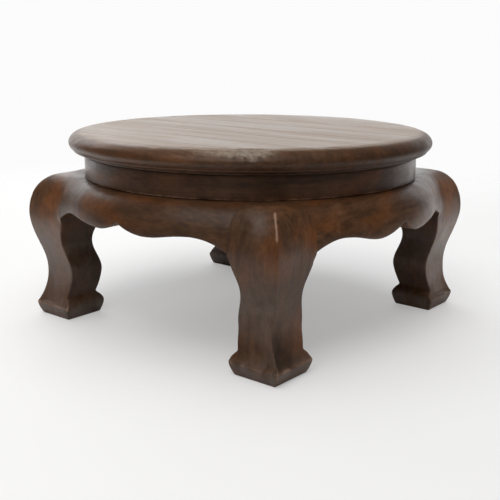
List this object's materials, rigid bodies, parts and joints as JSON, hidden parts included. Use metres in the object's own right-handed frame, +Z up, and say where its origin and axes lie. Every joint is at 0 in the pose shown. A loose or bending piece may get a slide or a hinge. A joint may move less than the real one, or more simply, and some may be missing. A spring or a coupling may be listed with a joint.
{
  "type": "opium table",
  "caption": "Low round wooden table with a moulded top, recessed waist, bulging cusped apron and square cabriole legs on block feet, for a tray, lamp or ornament.",
  "frame": {"origin": "on the floor, under the centre of the round top", "axes": "+Z up; +X along the boards of the top; the legs stand on the diagonals between X and Y"},
  "size_m": [0.5174, 0.5174, 0.26],
  "materials": {
    "top_wood": "satin wax over dark brown stain, worn paler on the upper face",
    "frame_wood": "satin wax over dark brown stain with reddish patches",
    "hidden_wood": "unpolished",
    "screw_steel": "plain steel"
  },
  "bodies": {
    "root": {"top_board_1": "top_wood", "top_board_2": "top_wood", "top_board_3": "top_wood", "top_board_4": "top_wood", "top_board_5": "top_wood", "top_board_6": "top_wood", "top_board_7": "top_wood", "top_board_8": "top_wood", "top_tongue_1": "hidden_wood", "top_tongue_2": "hidden_wood", "top_tongue_3": "hidden_wood", "top_tongue_4": "hidden_wood", "top_tongue_5": "hidden_wood", "top_tongue_6": "hidden_wood", "top_tongue_7": "hidden_wood", "top_batten_left": "hidden_wood", "top_batten_right": "hidden_wood", "batten_screw_left_1": "screw_steel", "batten_screw_left_2": "screw_steel", "batten_screw_left_3": "screw_steel", "batten_screw_left_4": "screw_steel", "batten_screw_right_1": "screw_steel", "batten_screw_right_2": "screw_steel", "batten_screw_right_3": "screw_steel", "batten_screw_right_4": "screw_steel", "waist_arc_back_left": "frame_wood", "waist_arc_back_right": "frame_wood", "waist_arc_front_left": "frame_wood", "waist_arc_front_right": "frame_wood", "waist_key_back": "hidden_wood", "waist_key_front": "hidden_wood", "waist_key_left": "hidden_wood", "waist_key_right": "hidden_wood", "apron_back": "frame_wood", "apron_front": "frame_wood", "apron_left": "frame_wood", "apron_right": "frame_wood", "leg_back_left": "frame_wood", "leg_back_right": "frame_wood", "leg_front_left": "frame_wood", "leg_front_right": "frame_wood", "leg_dowel_back_left": "hidden_wood", "leg_dowel_back_right": "hidden_wood", "leg_dowel_front_left": "hidden_wood", "leg_dowel_front_right": "hidden_wood", "corner_brace_back_left": "hidden_wood", "corner_brace_back_right": "hidden_wood", "corner_brace_front_left": "hidden_wood", "corner_brace_front_right": "hidden_wood", "leg_screw_back_left": "screw_steel", "leg_screw_back_right": "screw_steel", "leg_screw_front_left": "screw_steel", "leg_screw_front_right": "screw_steel", "top_screw_back_left": "screw_steel", "top_screw_back_right": "screw_steel", "top_screw_front_left": "screw_steel", "top_screw_front_right": "screw_steel"}
  },
  "joints": []
}
